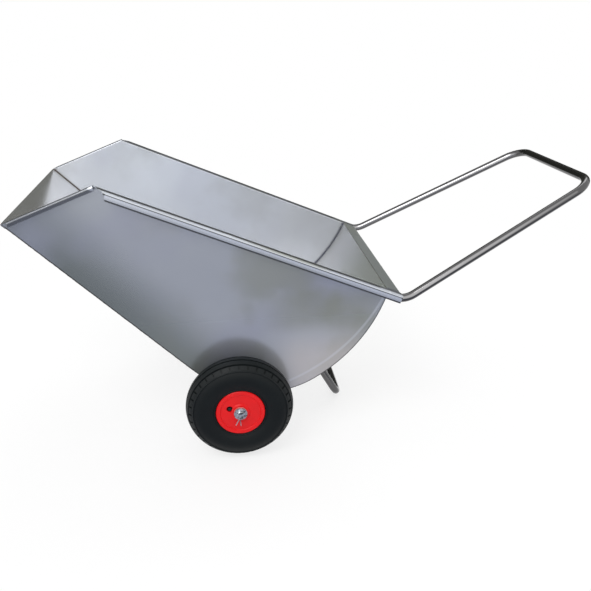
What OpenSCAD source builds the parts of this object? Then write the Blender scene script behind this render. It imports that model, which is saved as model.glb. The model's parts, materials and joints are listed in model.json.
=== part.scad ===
// Two-wheeled sheet-steel barrow.
// Side view is X-Z: +X points to the handle, +Z up, and the barrow is symmetric about Y = 0.
// "Right" is the +Y side. All drawing is done with the axle centre at X = 0, Z = 0, and
// placed() then puts the part on the ground with its origin below the middle of its box.

/* [Tray] */
// Width over the outer faces of the side panels
tray_w = 550; // [450:5:650]
// Thickness of the tray's sheet steel
sheet_t = 1.5; // [1.2:0.1:2.5]
// Inside radius of the folds in the rims
fold_r = 2.5; // [2:0.1:4]
// How far the front lip is ahead of the axle
lip_x = 495; // [465:1:525]
// Height of the front lip above the axle
lip_z = 460; // [445:1:475]
// Slope of the straight front of the floor, from the horizontal
scoop_angle = 44.7; // [43.5:0.1:46]
// How far the side panel's peak is ahead of the axle
peak_x = 294; // [260:1:330]
// Height of the side panel's peak above the axle
peak_z = 539; // [525:1:570]
// Fall of the rear rim, from the peak to the handle
rim_fall = 22.3; // [20:0.1:24]
// Distance behind the axle at which the rims end
rim_end_x = 397; // [390:1:420]
// Distance behind the axle at which the panel's rear edge reaches the rim
panel_rear_x = 368; // [355:1:380]
// Radius of the panel's rear edge
panel_rear_r = 400; // [370:5:440]
// Radius of the panel's bottom corner
panel_bend_r = 240; // [220:5:250]
// Distance behind the axle at which the rear wall reaches the rim
wall_rear_x = 364; // [350:1:370]
// Radius of the rear wall's curve
wall_rear_r = 445; // [420:5:480]
// Radius of the bend at the bottom of the floor
floor_bend_r = 220; // [205:5:235]
// Air between the axle and the panel's bottom edge
edge_gap = 1.4; // [1:0.1:4]
// Height of the floor above the panel's bottom edge, over the axle
floor_lift = 10; // [6:0.5:14]

/* [Rims] */
// Outward width of the front part of the side rim
front_rim_w = 12; // [11:0.5:16]
// Depth of the front rim's lip
front_rim_h = 10; // [8:0.5:14]
// Turn of the front rim's lip, 90 hangs straight down
front_lip_turn = 112; // [90:1:120]
// Depth of the rear rim's lip
rear_rim_h = 19; // [16:0.5:21]
// Length of the corner cut at the front end of the rear rim
rim_corner = 27; // [15:1:40]
// Length of the diagonal at the front end of the rear rim's lip
lip_corner = 8; // [4:1:15]
// Length of the corner cut at the front tip of the front rim
tip_corner = 18; // [10:1:30]
// Depth of the turned-down edge of the rear flange
rear_flange_h = 8; // [6:0.5:14]
// Depth of the hem under the front lip
hem_l = 12; // [8:1:20]
// Inside radius of the hem
hem_r = 0.6; // [0.5:0.1:1]

/* [Handle and stand] */
// Outside diameter of the handle and stand tubes
tube_d = 20; // [18:0.5:22]
// Wall of the handle and stand tubes
tube_wall = 2; // [1.5:0.1:3]
// Gap that the weld fills beside the handle tube
weld_gap = 0.2; // [0.1:0.1:0.4]
// Length of tube inside each side rim
handle_stub = 105; // [80:5:150]
// Distance behind the axle at which the handle turns upward
handle_kink_x = 402; // [400:1:425]
// Distance of the grip bar behind the axle
grip_x = 881; // [800:5:950]
// Height of the grip bar above the axle
grip_z = 496; // [450:2:540]
// Width of the handle at the grip bar, between tube centres
grip_w = 406; // [340:2:460]
// Bend radius where the handle leaves the rim, to the tube's centre
root_bend_r = 60; // [45:1:75]
// Bend radius of the handle's corners, to the tube's centre
grip_bend_r = 60; // [45:1:75]
// Distance of the stand's foot behind the axle
foot_x = 284; // [265:1:300]
// Lean of the stand's legs, from the vertical
stand_lean = 30; // [25:1:34]
// Width of the stand between tube centres
stand_w = 212; // [160:2:300]
// Bend radius of the stand's corners, to the tube's centre
stand_bend_r = 32; // [26:1:45]
// Thickness of the doubler plates above the stand's legs
doubler_t = 3; // [2:0.5:5]
// Side length of the doubler plates
doubler_l = 56; // [40:2:60]

/* [Axle] */
// Diameter of the axle
axle_d = 20; // [18:0.5:22]
// Air between the tyre and the side panel
tyre_gap = 9; // [9:0.5:20]
// Thickness of the bracket plates that carry the axle
bracket_t = 5; // [4:0.5:8]
// Distance of the bracket plates inside the side panels
bracket_inset = 40; // [20:1:80]
// Radius of the bracket plate round the axle
bracket_r = 24; // [20:1:28]
// Length of the bracket plates along the floor
bracket_l = 140; // [120:2:180]
// Outside radius of the axle collars
collar_r = 14; // [13.5:0.5:18]
// Outside radius of the wheel washers
washer_r = 15.8; // [14:0.2:17]
// Thickness of the wheel washers
washer_t = 2.5; // [2:0.1:3]
// Diameter of the split pin's hole
pin_hole_d = 5; // [4.4:0.1:6]
// Length of the split pin's legs below the axle
pin_leg = 20; // [12:1:24]
// Turn of the split pin about the axle
pin_turn = 12; // [0:1:90]

/* [Wheels] */
// Outside diameter of the tyre
wheel_d = 260; // [250:1:280]
// Width of the tyre
tyre_w = 78; // [74:1:84]
// Thickness of the tyre's wall
tyre_wall = 5.5; // [4:0.1:7]
// Radius of the lower sidewall's curve
sidewall_r = 60; // [56:1:66]
// Radius at which the beads sit on the rim
bead_r = 50.8; // [50:0.1:52]
// Depth of the tread's grooves
tread_depth = 3; // [2:0.1:4]
// Width of the tread's grooves
tread_groove = 3.5; // [2:0.1:4]
// Number of notches in each shoulder of the tread
notch_n = 36; // [24:2:48]
// Width of the shoulder notches
notch_w = 4; // [2:0.5:6]
// Radius of the moulded rings on the sidewall
ring_bead = 2; // [1:0.1:2.4]
// Wall of the inner tube
tube_skin = 2; // [1.5:0.1:3]
// Outer radius of the rim's flange
rim_r = 58.5; // [57:0.1:60]
// Half the length of the hub
hub_half = 34; // [33:0.5:36]
// Outer radius of the hub's raised face
hub_face_r = 21; // [19:0.5:23]
// Wall of the plastic rim
rim_wall = 4; // [3:0.1:4.5]
// Outside radius of the hub bushes
bush_r = 13; // [12.5:0.1:14]
// Length of each hub bush inside the hub
bush_l = 20; // [14:1:28]
// Thickness of the bush's flange
bush_flange = 1.5; // [1:0.1:2]
// Number of screws that hold the rim's halves together
screw_n = 4; // [3:1:6]
// Radius of the ring of screws
screw_ring_r = 32; // [31:0.5:33]
// Diameter of the rim's screws
screw_d = 5; // [4:0.5:6]
// Radius from the wheel's centre to the valve
valve_ring_r = 28; // [27:0.5:30]
// Diameter of the valve's opening in the rim
valve_hole_d = 15; // [13:0.5:16]
// Diameter of the valve stem
valve_d = 6; // [5:0.5:7]

/* [Hidden] */

steel = "#a3a6aa";
tube_steel = "#8f9294";
zinc = "#b9bcbd";
rubber = "#24282a";
red_plastic = "#e3161f";
brass = "#b79a5b";

over = 1;                 // overrun of cutters past the faces they cut
fit_gap = 0.05;           // radial clearance of running and pressed fits
seat_gap = 0.3;           // air between parts that lie close and don't bear
seam = 0.2;               // half length of the band where a straight and a bend join
seam_rise = 0.02;         // height of that band over the surface
lap = 3;                  // depth to which areas overlap below a curved edge
$fn = 96;
wire_fn = 24;

// Tray side view
lip = [-lip_x, lip_z];
peak = [-peak_x, peak_z];
scoop_dir = [cos(scoop_angle), -sin(scoop_angle)];
scoop_up = [sin(scoop_angle), cos(scoop_angle)];
rim_dir = [cos(rim_fall), -sin(rim_fall)];
rim_up = [sin(rim_fall), cos(rim_fall)];
front_rise = atan2(peak.y - lip.y, peak.x - lip.x);
fold_h = fold_r + sheet_t;
panel_y = tray_w / 2;
far_out = 2000;           // size of the cutters that stand for half planes
hem_c = lip + (hem_r + sheet_t) * scoop_dir - hem_r * scoop_up;
x_mid = (hem_c.x - hem_r - sheet_t + grip_x + tube_d / 2) / 2;

panel_bend_c = bend_centre([0, axle_d / 2 + edge_gap], panel_bend_r);
panel_corner = rim_point(panel_rear_x);
panel_rear_c = circle_meet(panel_corner, panel_rear_r, panel_bend_c, panel_rear_r - panel_bend_r);
floor_bend_c = bend_centre([0, axle_d / 2 + edge_gap + floor_lift], floor_bend_r);
scoop_l = (floor_bend_c - lip) * scoop_dir;
floor_rear_c = circle_meet(rim_point(wall_rear_x), wall_rear_r, floor_bend_c,
    wall_rear_r - floor_bend_r);

// Fold at the top of the rear wall: fold_r outside the wall and fold_h below the rim's plane
fold_line = peak - fold_h * rim_up;
fold_reach = wall_rear_r + fold_r;
fold_off = (floor_rear_c - fold_line) * rim_up;
fold_c = floor_rear_c - fold_off * rim_up + sqrt(fold_reach ^ 2 - fold_off ^ 2) * rim_dir;
rear_flange_w = (rim_point(rim_end_x) - fold_c) * rim_dir;

// Handle
tube_r = tube_d / 2;
rim_channel = tube_d + 2 * weld_gap;
rear_rim_w = rim_channel + sheet_t;
stub_drop = (sheet_t + weld_gap + tube_r) / cos(rim_fall);
stub_y = panel_y + weld_gap + tube_r;
kink = stub_point(handle_kink_x);
stub_end = stub_point(rim_end_x - handle_stub * cos(rim_fall));
grip_corner = [grip_x, grip_w / 2, grip_z];
root_setback = setback([stub_end, kink, grip_corner], [0, root_bend_r, 0], 1);

// Stand
wheel_r = wheel_d / 2;
foot_z = tube_r - wheel_r;
leg_dir = [-sin(stand_lean), 0, cos(stand_lean)];
doubler_r = wall_rear_r + doubler_t;
leg_top = line_circle([foot_x, foot_z], [leg_dir.x, leg_dir.z], floor_rear_c, doubler_r);
leg_l = norm(leg_top - [foot_x, foot_z]) + tube_d;
doubler_mid = atan2(leg_top.y - floor_rear_c.y, leg_top.x - floor_rear_c.x);
doubler_half = doubler_l / 2 / wall_rear_r * 180 / PI;

// Wheel stack, counted outward from the wheel's middle plane
wheel_y = panel_y + tyre_gap + tyre_w / 2;
axle_r = axle_d / 2;
washer_at = hub_half + bush_flange + seat_gap;
pin_at = washer_at + washer_t + seat_gap + pin_hole_d / 2;
axle_end = pin_at + pin_hole_d / 2 + 2;
axle_chamfer = 1.2;
wire_r = pin_hole_d / 4 - fit_gap;

// Tyre and rim section
crown_r = wheel_r - tyre_w / 2;
// Places on the crown as angles from the wheel's middle plane: shoulder ring and ends of its notches
ring_at = 57;
notch_from = 33;
notch_to = 50;
rim_seat_r = bead_r - seat_gap;
well_r = 45;
hub_wall_r = bush_r + 5;
tube_base_r = well_r + seat_gap;
screw_depth = 15;
well_z = 14;
flange_z = side_z(rim_r) + 2 * seat_gap;
seat_z = side_z(bead_r) + seat_gap;
face_z = hub_half - 2.8;
ring_z = hub_half - 1;
ring_r = rim_r - 11;
boss_r = 6.5;
rib_t = 3;
screw_head_r = screw_d * 0.95;
screw_head_h = 3;
valve_turn = -156;
screw_turn = valve_turn + 180 / screw_n;
valve_z = 9;
valve_elbow_r = 6;
valve_tip = face_z - 4;
cap_l = 9;

function unit(v) = v / norm(v);
function heading(path, i) = unit(path[i + 1] - path[i]);
function turn_at(path, i) = acos(heading(path, i - 1) * heading(path, i));
function setback(path, bends, i) =
    i == 0 || i == len(path) - 1 ? 0 : bends[i] * tan(turn_at(path, i) / 2);
function lengthened(path) = [for (i = [0 : len(path) - 1])
    i == 0 ? path[0] - over * heading(path, 0)
    : i == len(path) - 1 ? path[i] + over * heading(path, i - 1)
    : path[i]];
function flipped(p) = [p.x, -p.y, p.z];

// Point of the rear rim's plane at distance x behind the axle
function rim_point(x) = [x, peak_z - (x + peak_x) * tan(rim_fall)];

// Axis of the handle's stub at distance x behind the axle
function stub_point(x) = [x, stub_y, rim_point(x).y - stub_drop];

// Centre of the circle of radius r that touches the scoop's line and passes below through low
function bend_centre(low, r) =
    let (rest = r - (low - lip) * scoop_up)
    low + rest * scoop_up - sqrt(r ^ 2 - rest ^ 2) * scoop_dir;

// Point at distance ra from a and rb from b, on the upper side of the line between them
function circle_meet(a, ra, b, rb) =
    let (l = norm(b - a), u = (b - a) / l, m = (ra ^ 2 - rb ^ 2 + l ^ 2) / (2 * l))
    a + m * u + sqrt(ra ^ 2 - m ^ 2) * [u.y, -u.x];

// First point of the line from p along d on the circle of centre c and radius r
function line_circle(p, d, c, r) =
    let (reach = (c - p) * d, off = (c - p) * (c - p) - reach ^ 2)
    p + (reach - sqrt(r ^ 2 - off)) * d;

// Half width of the tyre's lower sidewall at radius r
function side_z(r) = tyre_w / 2 - sidewall_r + sqrt(sidewall_r ^ 2 - (crown_r - r) ^ 2);

// Half width of the tyre above its widest radius, at radius r
function shoulder_z(r) = sqrt((tyre_w / 2) ^ 2 - (r - crown_r) ^ 2);

// Puts what is drawn round the axle on the ground, below the middle of the part's box
module placed() {
    translate([-x_mid, 0, wheel_r]) children();
}

module left() {
    mirror([0, 1, 0]) children();
}

// Side-view outline as a slab between two distances from the middle plane
module side_slab(y0, y1) {
    translate([0, y1, 0]) rotate([90, 0, 0]) linear_extrude(y1 - y0) children();
}

// Triangle from c that opens towards the points a and b, past a circle of radius r
module wedge(c, a, b, r) {
    polygon([c, c + 3 * r * unit(a - c), c + 3 * r * unit(b - c)]);
}

module pie(c, r, a, b) {
    intersection() {
        translate(c) circle(r);
        wedge(c, a, b, r);
    }
}

module ring_sector(c, r_in, r_out, a, b) {
    difference() {
        pie(c, r_out, a, b);
        translate(c) circle(r_in);
    }
}

// Band across a sheet at p, where the sheet runs along d and its first face holds p
module seam_band(p, d, depth) {
    translate(p) rotate(atan2(d.y, d.x)) translate([-seam, -seam_rise])
        square([2 * seam, depth + 2 * seam_rise]);
}

// Folded sheet: each step is a straight length, then a turn to the right with an inside radius
module sheet_run(steps, i = 0) {
    step = steps[i];
    last = i == len(steps) - 1;
    start = i == 0 ? 0 : seam / 2;
    translate([start, 0]) square([step[0] - start - (last ? 0 : seam / 2), sheet_t]);
    if (!last) translate([step[0], 0]) {
        seam_band([0, 0], [1, 0], sheet_t);
        translate([0, -step[2]]) {
            ring_sector([0, 0], step[2], step[2] + sheet_t, [0, 1], [sin(step[1]), cos(step[1])]);
            rotate(-step[1]) translate([0, step[2]]) {
                seam_band([0, 0], [1, 0], sheet_t);
                sheet_run(steps, i + 1);
            }
        }
    }
}

module rod(a, b, r) {
    d = b - a;
    translate(a) rotate([0, acos(d.z / norm(d)), atan2(d.y, d.x)]) cylinder(h = norm(d), r = r);
}

// Round bar along a path, with a true bend of its own radius at each inner point
module bar_run(path, bends, r) {
    for (i = [0 : len(path) - 2])
        rod(path[i] + (setback(path, bends, i) + (i == 0 ? 0 : seam / 2)) * heading(path, i),
            path[i + 1] - (setback(path, bends, i + 1) + (i == len(path) - 2 ? 0 : seam / 2))
                * heading(path, i), r);
    for (i = [1 : len(path) - 2]) {
        y = heading(path, i - 1);
        x = unit((heading(path, i) * y) * y - heading(path, i));
        z = cross(x, y);
        c = path[i] - setback(path, bends, i) * y - bends[i] * x;
        multmatrix([[x.x, y.x, z.x, c.x], [x.y, y.y, z.y, c.y], [x.z, y.z, z.z, c.z], [0, 0, 0, 1]])
            rotate_extrude(angle = turn_at(path, i)) translate([bends[i], 0]) circle(r);
        for (k = [-1, 1]) {
            d = heading(path, k < 0 ? i - 1 : i);
            m = path[i] + k * setback(path, bends, i) * d;
            rod(m - seam * d, m + seam * d, r + seam_rise);
        }
    }
}

module tube_run(path, bends, r, wall) {
    difference() {
        bar_run(path, bends, r);
        bar_run(lengthened(path), bends, r - wall);
    }
}

// Area inside the tray in side view, for a rear edge that reaches the rim at rim_x
module tray_region(rim_x, rear_c, rear_r, bend_c, bend_r) {
    out = unit(bend_c - rear_c);
    along = [-out.y, out.x];
    turn = rear_c + rear_r * out;
    low = bend_c - bend_r * scoop_up;
    polygon([lip, peak, rim_point(rim_x - 2 * lap), turn + lap * (along - out),
        low + lap * (scoop_up + scoop_dir), low - seam / 2 * scoop_dir]);
    pie(rear_c, rear_r, rim_point(rim_x) + [0, 2 * fold_h], turn + seam / 2 * along);
    pie(bend_c, bend_r, turn, low);
    seam_band(low, scoop_dir, 4 * lap);
    seam_band(turn, along, 4 * lap);
}

// Flat of the side panel, which stops at the folds of its rims
module panel_flat() {
    difference() {
        tray_region(panel_rear_x, panel_rear_c, panel_rear_r, panel_bend_c, panel_bend_r);
        translate(peak) rotate(-rim_fall) translate([-far_out / 2, -fold_h - over]) square(far_out);
        translate(lip) rotate(front_rise) translate([-far_out / 2, -fold_h - over]) square(far_out);
    }
}

// Section of a rim from the panel's flat outward
module rim_section(w, h, lip_turn) {
    translate([0, -fold_h - 2 * over]) rotate(90)
        sheet_run([[2 * over, 90, fold_r], [w - fold_r - fold_h, lip_turn, fold_r], [h - fold_h]]);
}

// Section of the rear rim behind the panel's edge
module rim_end_section(w, h) {
    translate([-sheet_t, -sheet_t]) sheet_run([[w - fold_r, 90, fold_r], [h - fold_h]]);
}

// Extrudes a section drawn outward and upward, from s0 to s1 along the rim
module rim_bar(s0, s1) {
    translate([s0, 0, 0]) rotate([90, 0, 90]) linear_extrude(s1 - s0) children();
}

// Prism through the rim from a plan drawn along it and outward
module rim_plan(h) {
    translate([0, 0, -h - over]) linear_extrude(h + 2 * over) children();
}

module front_rim() {
    l = norm(peak - lip);
    translate([lip.x, panel_y, lip.y]) rotate([0, -front_rise, 0]) intersection() {
        rim_bar(0, l) rim_section(front_rim_w, front_rim_h, front_lip_turn);
        rim_plan(front_rim_h + sheet_t) polygon([[0, -sheet_t - over], [l + over, -sheet_t - over],
            [l + over, front_rim_w + over], [tip_corner, front_rim_w + over], [0, 0]]);
    }
}

module rear_rim() {
    l = norm(rim_point(rim_end_x) - peak);
    panel_l = norm(panel_corner - peak);
    translate([peak.x, panel_y, peak.y]) rotate([0, rim_fall, 0]) intersection() {
        union() {
            rim_bar(0, panel_l) rim_section(rear_rim_w, rear_rim_h, 90);
            rim_bar(panel_l - over, l) rim_end_section(rear_rim_w, rear_rim_h);
        }
        rim_plan(rear_rim_h) polygon([[0, -sheet_t - over], [l + over, -sheet_t - over],
            [l + over, rear_rim_w + over], [rim_corner, rear_rim_w + over], [0, 0]]);
        translate([0, rear_rim_w + over, 0]) rotate([90, 0, 0])
            linear_extrude(rear_rim_w + sheet_t + 2 * over)
            polygon([[-over, over], [l + over, over], [l + over, -rear_rim_h - over],
                [rim_corner + lip_corner, -rear_rim_h - over], [rim_corner, -fold_h - over],
                [-over, -fold_h - over]]);
    }
}

// Space for the handle where it bends up through the end of the rear rim
module handle_cope() {
    start = kink - (root_setback + seam) * unit(kink - stub_end);
    bar_run([start, kink, grip_corner], [0, root_bend_r, 0], tube_r + weld_gap / 2);
}

module side_panel() {
    color(steel) placed() {
        side_slab(panel_y - sheet_t, panel_y) panel_flat();
        front_rim();
        difference() {
            rear_rim();
            handle_cope();
        }
    }
}
module side_panel_right() side_panel();
module side_panel_left() left() side_panel();

// One sheet: hem, straight scoop, bottom bend, rear wall and turned-out rear flange
module floor_section() {
    turn_out = unit(floor_bend_c - floor_rear_c);
    turn_dir = [-turn_out.y, turn_out.x];
    turn = floor_rear_c + wall_rear_r * turn_out;
    top_out = unit(fold_c - floor_rear_c);
    top_dir = [-top_out.y, top_out.x];
    top = floor_rear_c + wall_rear_r * top_out;
    low = floor_bend_c - floor_bend_r * scoop_up;
    translate(hem_c) rotate(-scoop_angle) {
        intersection() {
            difference() {
                circle(hem_r + sheet_t);
                circle(hem_r);
            }
            translate([-hem_l, -hem_l / 2]) square(hem_l);
        }
        translate([0, -hem_r - sheet_t]) square([hem_l, sheet_t]);
        translate([0, hem_r]) square([scoop_l - hem_r - sheet_t - seam / 2, sheet_t]);
    }
    seam_band(low, scoop_dir, sheet_t);
    ring_sector(floor_bend_c, floor_bend_r - sheet_t, floor_bend_r, low, turn);
    seam_band(turn, turn_dir, sheet_t);
    ring_sector(floor_rear_c, wall_rear_r - sheet_t, wall_rear_r, turn + seam / 2 * turn_dir,
        top - seam / 2 * top_dir);
    seam_band(top, top_dir, sheet_t);
    ring_sector(fold_c, fold_r, fold_h, floor_rear_c, fold_c + rim_up);
    seam_band(fold_c + fold_r * rim_up, rim_dir, sheet_t);
    translate(fold_c) rotate(-rim_fall) translate([seam / 2, fold_r])
        sheet_run([[rear_flange_w - fold_h - seam / 2, 90, fold_r], [rear_flange_h - fold_h]]);
}

module floor_sheet() {
    half = panel_y - sheet_t - fit_gap;
    color(steel) placed() side_slab(-half, half) floor_section();
}

module handle_tube() {
    path = [stub_end, kink, grip_corner, flipped(grip_corner), flipped(kink), flipped(stub_end)];
    bends = [0, root_bend_r, grip_bend_r, grip_bend_r, root_bend_r, 0];
    color(tube_steel) placed() tube_run(path, bends, tube_r, tube_wall);
}

// Bent tube stand, coped to the doublers under the rear wall
module stand_tube() {
    foot = [foot_x, stand_w / 2, foot_z];
    top = foot + leg_l * leg_dir;
    color(tube_steel) placed() difference() {
        tube_run([top, foot, flipped(foot), flipped(top)], [0, stand_bend_r, stand_bend_r, 0],
            tube_r, tube_wall);
        side_slab(-panel_y, panel_y) translate(floor_rear_c) circle(doubler_r);
    }
}

module stand_doubler() {
    color(steel) placed() side_slab((stand_w - doubler_l) / 2, (stand_w + doubler_l) / 2)
        ring_sector(floor_rear_c, wall_rear_r, doubler_r,
            floor_rear_c + [cos(doubler_mid - doubler_half), sin(doubler_mid - doubler_half)],
            floor_rear_c + [cos(doubler_mid + doubler_half), sin(doubler_mid + doubler_half)]);
}
module stand_doubler_right() stand_doubler();
module stand_doubler_left() left() stand_doubler();

// Plate that hangs from the floor and carries the axle
module axle_bracket() {
    y = panel_y - sheet_t - bracket_inset;
    wing = bracket_l / 2;
    toe = 0.9 * bracket_r;
    color(steel) placed() difference() {
        union() {
            side_slab(y - bracket_t, y) circle(bracket_r);
            side_slab(y - bracket_t, y)
                polygon([[-wing, wing], [wing, wing], [toe, -toe / 3], [-toe, -toe / 3]]);
        }
        side_slab(y - bracket_t - over, y + over)
            tray_region(wall_rear_x, floor_rear_c, wall_rear_r, floor_bend_c, floor_bend_r);
        side_slab(y - bracket_t - over, y + over) circle(axle_r + fit_gap);
    }
}
module axle_bracket_right() axle_bracket();
module axle_bracket_left() left() axle_bracket();

// Wheel frame: its centre at the origin, and +Z outward along the axle
module on_wheel() {
    placed() translate([0, wheel_y, 0]) rotate([-90, 0, 0]) children();
}

module washer_ring(r_in, r_out, z, h) {
    translate([0, 0, z]) difference() {
        cylinder(h = h, r = r_out);
        translate([0, 0, -over]) cylinder(h = h + 2 * over, r = r_in);
    }
}

module pin_hole() {
    rotate([0, 0, pin_turn]) rotate([90, 0, 0]) translate([0, 0, -axle_d])
        cylinder(h = 2 * axle_d, d = pin_hole_d);
}

// Half of the axle, from the middle of the barrow outward
module half_axle() {
    on_wheel() difference() {
        union() {
            translate([0, 0, -wheel_y]) cylinder(h = wheel_y + axle_end - axle_chamfer, r = axle_r);
            translate([0, 0, axle_end - axle_chamfer])
                cylinder(h = axle_chamfer, r1 = axle_r, r2 = axle_r - axle_chamfer);
        }
        translate([0, 0, pin_at]) pin_hole();
    }
}
module axle() {
    color(zinc) {
        half_axle();
        left() half_axle();
    }
}

module axle_collar() {
    inner = washer_at + washer_t;
    color(zinc) on_wheel() washer_ring(axle_r + fit_gap, collar_r, over - tyre_gap - tyre_w / 2,
        tyre_gap + tyre_w / 2 - over - inner);
}
module axle_collar_right() axle_collar();
module axle_collar_left() left() axle_collar();

module inner_washer() {
    color(zinc) on_wheel()
        washer_ring(axle_r + fit_gap, washer_r, -washer_at - washer_t, washer_t);
}
module inner_washer_right() inner_washer();
module inner_washer_left() left() inner_washer();

module outer_washer() {
    color(zinc) on_wheel() washer_ring(axle_r + fit_gap, washer_r, washer_at, washer_t);
}
module outer_washer_right() outer_washer();
module outer_washer_left() left() outer_washer();

// Two wires side by side with an eye above the axle and splayed tails below it
module split_pin() {
    eye_r = 2 * wire_r;
    leg_x = 0.9 * wire_r;
    color(zinc) on_wheel() translate([0, 0, pin_at]) rotate([0, 0, pin_turn]) {
        translate([0, -axle_r - eye_r - wire_r, 0])
            rotate_extrude($fn = wire_fn) translate([eye_r, 0]) circle(wire_r);
        for (k = [-1, 1])
            bar_run([[k * leg_x, -axle_r - wire_r, 0], [k * leg_x, axle_r + wire_r, 0],
                [k * 5 * wire_r, axle_r + pin_leg, 0]], [0, 3 * wire_r, 0], wire_r, $fn = wire_fn);
    }
}
module split_pin_right() split_pin();
module split_pin_left() left() split_pin();

// Tyre section as radius and width, shrunk by inset and open towards the rim
module casing(inset, r_min) {
    intersection() {
        translate([crown_r, 0]) circle(tyre_w / 2 - inset);
        translate([crown_r, -tyre_w]) square(2 * tyre_w);
    }
    intersection() {
        translate([crown_r, tyre_w / 2 - sidewall_r]) circle(sidewall_r - inset);
        translate([crown_r, sidewall_r - tyre_w / 2]) circle(sidewall_r - inset);
        translate([r_min, -tyre_w]) square([crown_r - r_min, 2 * tyre_w]);
    }
}

// Tyre without its shoulder notches: casing, moulded rings and the tread's grooves
module ribbed_casing() {
    groove_z = [-tyre_w * 0.27, -tyre_w * 0.09, tyre_w * 0.09, tyre_w * 0.27];
    shoulder_ring_r = crown_r + tyre_w / 2 * cos(ring_at);
    rotate_extrude() difference() {
        union() {
            casing(0, bead_r);
            for (k = [-1, 1]) {
                translate([rim_r + 2 * ring_bead, k * side_z(rim_r + 2 * ring_bead)]) circle(ring_bead);
                translate([shoulder_ring_r, k * shoulder_z(shoulder_ring_r)]) circle(ring_bead);
            }
        }
        casing(tyre_wall, bead_r - over);
        for (z = groove_z) translate([crown_r + shoulder_z(crown_r + abs(z)) - tread_depth,
            z - tread_groove / 2]) square([2 * tread_depth, tread_groove]);
    }
}

// Notches of one shoulder, cut square to the crown from the outer groove outward
module shoulder_notches() {
    length = tyre_w / 2 * (notch_to - notch_from) * PI / 180;
    for (i = [0 : notch_n - 1]) rotate([0, 0, i * 360 / notch_n]) translate([crown_r, 0, 0])
        rotate([0, -(notch_from + notch_to) / 2, 0])
        translate([tyre_w / 2 - tread_depth, -notch_w / 2, -length / 2])
            cube([2 * tread_depth, notch_w, length]);
}

module tyre() {
    color(rubber) on_wheel() difference() {
        ribbed_casing();
        shoulder_notches();
        mirror([0, 0, 1]) shoulder_notches();
    }
}
module tyre_right() tyre();
module tyre_left() left() tyre();

// Closed tube that fills the tyre and the rim's well
module inner_tube() {
    skin_at = tyre_wall + seat_gap;
    color(rubber) on_wheel() rotate_extrude() difference() {
        casing(skin_at, tube_base_r);
        casing(skin_at + tube_skin, tube_base_r + tube_skin);
    }
}
module inner_tube_right() inner_tube();
module inner_tube_left() left() inner_tube();

// Half of the two-part plastic rim, hollow between the hub and the well
module rim_shell() {
    rotate_extrude() difference() {
        polygon([[bush_r, 0], [bush_r, hub_half], [hub_face_r, hub_half], [hub_face_r + 3, face_z],
            [ring_r, face_z], [ring_r + 1.5, ring_z], [rim_r - 1.5, ring_z], [rim_r, ring_z - 1.5],
            [rim_r, flange_z], [rim_seat_r, seat_z], [rim_seat_r, seat_z - 6], [well_r, well_z],
            [well_r, 0]]);
        polygon([[hub_wall_r, -over], [hub_wall_r, face_z - rim_wall],
            [rim_seat_r - rim_wall, face_z - rim_wall], [rim_seat_r - rim_wall, seat_z - 6],
            [well_r - rim_wall, well_z], [well_r - rim_wall, -over]]);
    }
    for (i = [0 : screw_n - 1]) rotate([0, 0, screw_turn + i * 360 / screw_n]) {
        translate([screw_ring_r, 0, 0]) cylinder(h = face_z - over, r = boss_r);
        translate([hub_wall_r - over, -rib_t / 2, over])
            cube([well_r - rim_wall - hub_wall_r + 2 * over, rib_t, face_z - 2 * over]);
    }
}

module screw_holes(r, z0, z1) {
    for (i = [0 : screw_n - 1]) rotate([0, 0, screw_turn + i * 360 / screw_n])
        translate([screw_ring_r, 0, z0]) cylinder(h = z1 - z0, r = r);
}

module rim_outer_half() {
    color(red_plastic) on_wheel() difference() {
        rim_shell();
        screw_holes(screw_d / 2 + fit_gap, -over, screw_depth + over);
        rotate([0, 0, valve_turn]) {
            translate([valve_ring_r, 0, face_z - rim_wall - over])
                cylinder(h = rim_wall + 2 * over, d = valve_hole_d);
            translate([well_r - rim_wall - over, 0, valve_z]) rotate([0, 90, 0])
                cylinder(h = rim_wall + 2 * over, r = valve_d / 2 + seat_gap);
        }
    }
}
module rim_outer_half_right() rim_outer_half();
module rim_outer_half_left() left() rim_outer_half();

module rim_inner_half() {
    color(red_plastic) on_wheel() mirror([0, 0, 1]) difference() {
        rim_shell();
        screw_holes(screw_d / 2 + fit_gap, -over, face_z + over);
    }
}
module rim_inner_half_right() rim_inner_half();
module rim_inner_half_left() left() rim_inner_half();

// Screws driven from the inner face into blind bosses of the outer half
module rim_screws() {
    color(zinc) on_wheel() for (i = [0 : screw_n - 1])
        rotate([0, 0, screw_turn + i * 360 / screw_n]) translate([screw_ring_r, 0, 0]) {
            translate([0, 0, -face_z - screw_head_h]) cylinder(h = screw_head_h, r = screw_head_r);
            translate([0, 0, -face_z - over]) cylinder(h = face_z + over + screw_depth, d = screw_d);
        }
}
module rim_screws_right() rim_screws();
module rim_screws_left() left() rim_screws();

// Flanged bush pressed into the hub
module hub_bush() {
    difference() {
        union() {
            translate([0, 0, hub_half - bush_l]) cylinder(h = bush_l, r = bush_r - fit_gap);
            translate([0, 0, hub_half]) cylinder(h = bush_flange, r = washer_r);
        }
        cylinder(h = 2 * hub_half, r = axle_r + fit_gap);
    }
}

module outer_hub_bush() {
    color("#e9e6dc") on_wheel() hub_bush();
}
module outer_hub_bush_right() outer_hub_bush();
module outer_hub_bush_left() left() outer_hub_bush();

module inner_hub_bush() {
    color("#e9e6dc") on_wheel() mirror([0, 0, 1]) hub_bush();
}
module inner_hub_bush_right() inner_hub_bush();
module inner_hub_bush_left() left() inner_hub_bush();

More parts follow.
